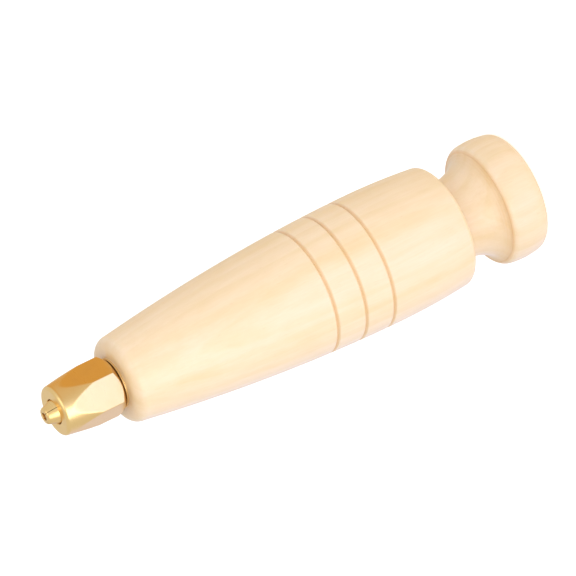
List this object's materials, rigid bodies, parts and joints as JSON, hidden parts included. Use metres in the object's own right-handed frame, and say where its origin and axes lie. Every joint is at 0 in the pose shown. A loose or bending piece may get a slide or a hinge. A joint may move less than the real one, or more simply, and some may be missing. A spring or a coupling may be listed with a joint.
{
  "type": "wood-handled pin vice",
  "caption": "Turned wooden palm handle with a mushroom knob and a brass hexagonal collet chuck that grips a thin tool shank.",
  "frame": {"origin": "centre of the knob's flat back face, which the tool stands on", "axes": "+Z along the tool's axis, from the knob up to the nose; -Y is the side that faces the viewer"},
  "size_m": [0.03, 0.03, 0.122],
  "materials": {
    "turned_wood": "pale close-grained wood under a satin lacquer",
    "polished_brass": "polished",
    "machined_brass": "as turned"
  },
  "bodies": {
    "holder": {"handle": "turned_wood", "chuck_body": "machined_brass"},
    "collet": {"collet": "polished_brass"},
    "nut": {"closing_nut": "polished_brass"}
  },
  "joints": [
    {"name": "collet_feed", "type": "slide", "parent": "holder", "child": "collet", "axis": [0, 0, 1], "range_m": [0, 0.006]},
    {"name": "nut_turn", "type": "hinge", "parent": "collet", "child": "nut", "pos_m": [0, 0, 0.112], "axis": [0, 0, 1], "range_deg": [0, 2160]}
  ],
  "couplings": [
    {"joint": "collet_feed", "follows": "nut_turn", "m_per_rad": 0.00015915}
  ]
}
